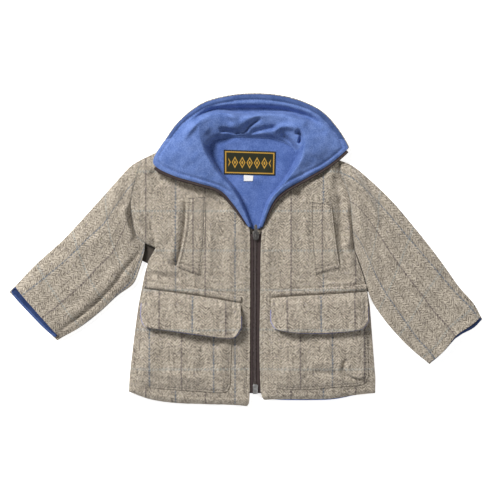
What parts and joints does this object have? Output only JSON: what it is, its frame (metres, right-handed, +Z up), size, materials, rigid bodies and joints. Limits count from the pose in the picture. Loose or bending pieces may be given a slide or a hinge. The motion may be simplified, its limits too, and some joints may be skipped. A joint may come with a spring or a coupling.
{
  "type": "jacket",
  "caption": "Child's grey-brown herringbone tweed jacket laid flat, lined in blue fleece, with an open stand collar, brown zip, flap pockets and slanted chest pockets",
  "frame": {"origin": "middle of the underside of the jacket's box, on the floor", "axes": "X to the wearer's left across both sleeves, Y towards the collar, Z up out of the front"},
  "size_m": [0.758, 0.4986, 0.0326],
  "materials": {
    "tweed": "matt, hairy",
    "fleece": "brushed pile",
    "lilac_fleece": "brushed pile",
    "zip_tape": "woven tape",
    "zip_nylon": "moulded",
    "zip_metal": "cast, worn",
    "label_tape": "woven",
    "tab_tape": "woven"
  },
  "bodies": {
    "jacket": {"back_panel": "tweed", "front_right": "tweed", "front_left": "tweed", "sleeve_top_right": "tweed", "sleeve_top_left": "tweed", "sleeve_under_right": "tweed", "sleeve_under_left": "tweed", "cuff_lining_right": "fleece", "cuff_lining_left": "fleece", "collar_outer": "tweed", "collar_inner": "fleece", "back_lining": "fleece", "label": "label_tape", "size_tab": "tab_tape", "zip_tape_right": "zip_tape", "zip_tape_left": "zip_tape", "zip_open_right": "zip_tape", "zip_open_left": "zip_tape", "zip_chain": "zip_nylon", "zip_slider": "zip_metal", "zip_box": "zip_metal", "welt_right": "tweed", "welt_left": "tweed", "pocket_right": "tweed", "pocket_left": "tweed", "band_right": "tweed", "band_left": "tweed", "flap_right": "tweed", "flap_left": "tweed", "flap_lining_right": "lilac_fleece", "flap_lining_left": "lilac_fleece", "hem_lining_left": "fleece"},
    "pull_tab": {"zip_pull": "zip_metal"}
  },
  "joints": [
    {"name": "pull_tab_hinge", "type": "hinge", "parent": "jacket", "child": "pull_tab", "pos_m": [0.0161, 0.02414, 0.01365], "axis": [1, 0, 0], "range_deg": [0, 135]}
  ]
}
